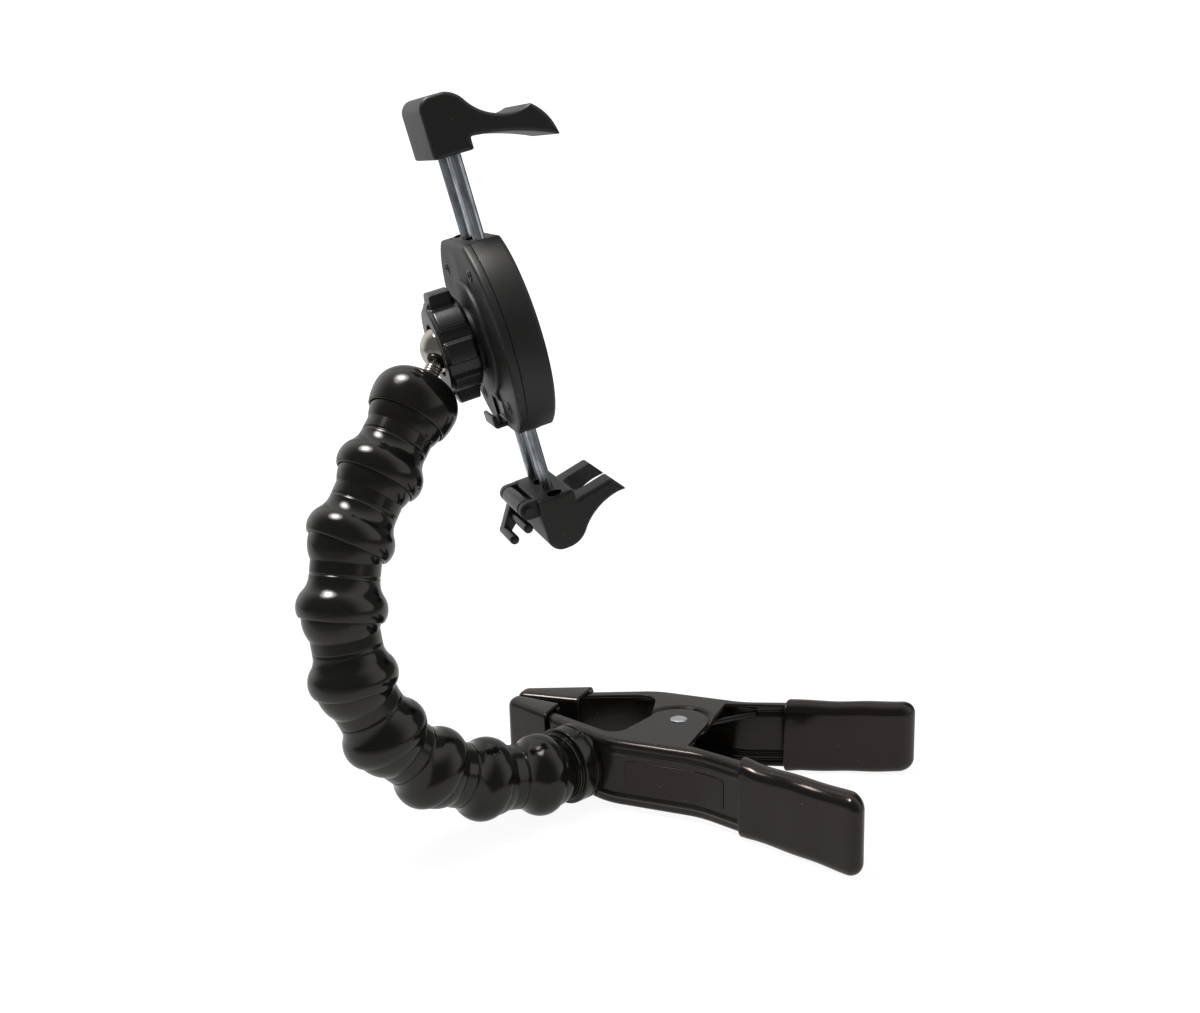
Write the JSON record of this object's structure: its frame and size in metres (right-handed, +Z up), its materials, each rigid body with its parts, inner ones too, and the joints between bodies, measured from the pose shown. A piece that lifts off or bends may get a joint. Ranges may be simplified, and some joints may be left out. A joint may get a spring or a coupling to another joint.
{
  "type": "clamp phone mount",
  "caption": "Sprung hand clamp with a bendable ball-and-socket hose that carries a tilting holder, whose two arms slide on steel rods to grip a phone or small tablet.",
  "frame": {"origin": "on the table under the middle of the whole mount", "axes": "+X along the clamp from the jaws to the handles, +Z up from the table the clamp lies on"},
  "size_m": [0.171, 0.1562, 0.2483],
  "materials": {
    "black_paint": "satin",
    "black_vinyl": "gloss",
    "hose_plastic": "gloss",
    "holder_plastic": "satin",
    "zinc_steel": "drawn",
    "spring_steel": "oiled",
    "polished_steel": "polished"
  },
  "bodies": {
    "clamp_front": {"front_arm": "black_paint", "front_grip": "black_vinyl", "front_jaw_pad": "black_vinyl", "pivot_rivet": "zinc_steel", "torsion_spring": "spring_steel", "hose_base": "hose_plastic", "base_bolt": "zinc_steel"},
    "clamp_back": {"back_arm": "black_paint", "back_grip": "black_vinyl", "back_jaw_pad": "black_vinyl"},
    "hose_link_1": {"hose_link_1": "hose_plastic"},
    "hose_link_2": {"hose_link_2": "hose_plastic"},
    "hose_link_3": {"hose_link_3": "hose_plastic"},
    "hose_link_4": {"hose_link_4": "hose_plastic"},
    "hose_link_5": {"hose_link_5": "hose_plastic"},
    "hose_link_6": {"hose_link_6": "hose_plastic"},
    "hose_link_7": {"hose_link_7": "hose_plastic"},
    "hose_link_8": {"hose_link_8": "hose_plastic"},
    "hose_end": {"end_cap": "hose_plastic", "ball_stud": "polished_steel"},
    "ball_cup": {"ball_seat": "holder_plastic"},
    "knob": {"ring_knob": "holder_plastic"},
    "holder": {"back_cover": "holder_plastic", "front_housing": "holder_plastic", "housing_screws": "spring_steel", "lever_pin": "zinc_steel"},
    "upper_slide": {"upper_arm": "holder_plastic", "upper_rods": "zinc_steel"},
    "lower_slide": {"lower_arm": "holder_plastic", "lower_rods": "zinc_steel", "clip_pin": "holder_plastic"},
    "lever": {"release_lever": "holder_plastic"},
    "clip": {"cord_clip": "holder_plastic"}
  },
  "joints": [
    {"name": "clamp_squeeze", "type": "hinge", "parent": "clamp_front", "child": "clamp_back", "pos_m": [0.00693, 0.03124, 0.0141], "axis": [0, 0, -1], "range_deg": [0, 36], "stiffness_Nm_per_rad": 1.2, "springref_deg": -34.38, "deforming": ["torsion_spring"]},
    {"name": "link_1_bend", "type": "hinge", "parent": "clamp_front", "child": "hose_link_1", "pos_m": [-0.0317, -0.00382, 0.0141], "axis": [-0.675, 0.2798, -0.6827], "range_deg": [-35.7, 8.3]},
    {"name": "link_2_bend", "type": "hinge", "parent": "hose_link_1", "child": "hose_link_2", "pos_m": [-0.0437, -0.02303, 0.01809], "axis": [-0.8021, 0.5497, 0.2334], "range_deg": [-37.5, 6.5]},
    {"name": "link_3_bend", "type": "hinge", "parent": "hose_link_2", "child": "hose_link_3", "pos_m": [-0.05349, -0.04144, 0.02781], "axis": [-0.8956, 0.4394, -0.0696], "range_deg": [-41.1, 2.9]},
    {"name": "link_4_bend", "type": "hinge", "parent": "hose_link_3", "child": "hose_link_4", "pos_m": [-0.06176, -0.05577, 0.04379], "axis": [-0.916, 0.3777, -0.1356], "range_deg": [-43, 1]},
    {"name": "link_5_bend", "type": "hinge", "parent": "hose_link_4", "child": "hose_link_5", "pos_m": [-0.06802, -0.06349, 0.06453], "axis": [-0.8928, 0.4378, -0.1062], "range_deg": [-42.9, 1.1]},
    {"name": "link_6_bend", "type": "hinge", "parent": "hose_link_5", "child": "hose_link_6", "pos_m": [-0.07092, -0.06387, 0.08735], "axis": [-0.9219, 0.3711, -0.111], "range_deg": [-40.3, 3.7]},
    {"name": "link_7_bend", "type": "hinge", "parent": "hose_link_6", "child": "hose_link_7", "pos_m": [-0.07103, -0.05753, 0.10946], "axis": [-0.8162, 0.5542, -0.163], "range_deg": [-41.8, 2.2]},
    {"name": "link_8_bend", "type": "hinge", "parent": "hose_link_7", "child": "hose_link_8", "pos_m": [-0.06663, -0.04544, 0.12852], "axis": [-0.9791, 0.0422, 0.1991], "range_deg": [-27.3, 16.7]},
    {"name": "cap_bend", "type": "hinge", "parent": "hose_link_8", "child": "hose_end", "pos_m": [-0.06239, -0.0316, 0.1464], "axis": [-0.9794, 0.0456, 0.1966], "range_deg": [-24.1, 19.9]},
    {"name": "ball_tilt", "type": "hinge", "parent": "hose_end", "child": "ball_cup", "pos_m": [-0.05744, -0.01432, 0.16708], "axis": [0.4646, -0.7311, 0.4996], "range_deg": [-1.5, 89]},
    {"name": "knob_turn", "type": "hinge", "parent": "ball_cup", "child": "knob", "pos_m": [-0.05744, -0.01432, 0.16708], "axis": [0.7275, 0.6368, 0.2554], "range_deg": [-30, 90]},
    {"name": "ball_spin", "type": "hinge", "parent": "ball_cup", "child": "holder", "pos_m": [-0.05744, -0.01432, 0.16708], "axis": [0.7275, 0.6368, 0.2554], "continuous": true},
    {"name": "upper_slide", "type": "slide", "parent": "holder", "child": "upper_slide", "axis": [-0.1703, -0.1931, 0.9663], "range_m": [-0.026, 0.025]},
    {"name": "lower_slide", "type": "slide", "parent": "holder", "child": "lower_slide", "axis": [0.1703, 0.1931, -0.9663], "range_m": [-0.023, 0.022]},
    {"name": "lever_pull", "type": "hinge", "parent": "holder", "child": "lever", "pos_m": [-0.04325, -0.00082, 0.14702], "axis": [-0.6647, 0.7464, 0.0321], "range_deg": [0, 18], "stiffness_Nm_per_rad": 0.02, "springref_deg": -17.19},
    {"name": "clip_swing", "type": "hinge", "parent": "lower_slide", "child": "clip", "pos_m": [-0.04109, 0.00261, 0.11197], "axis": [-0.6647, 0.7464, 0.0321], "range_deg": [-16, 100]}
  ]
}
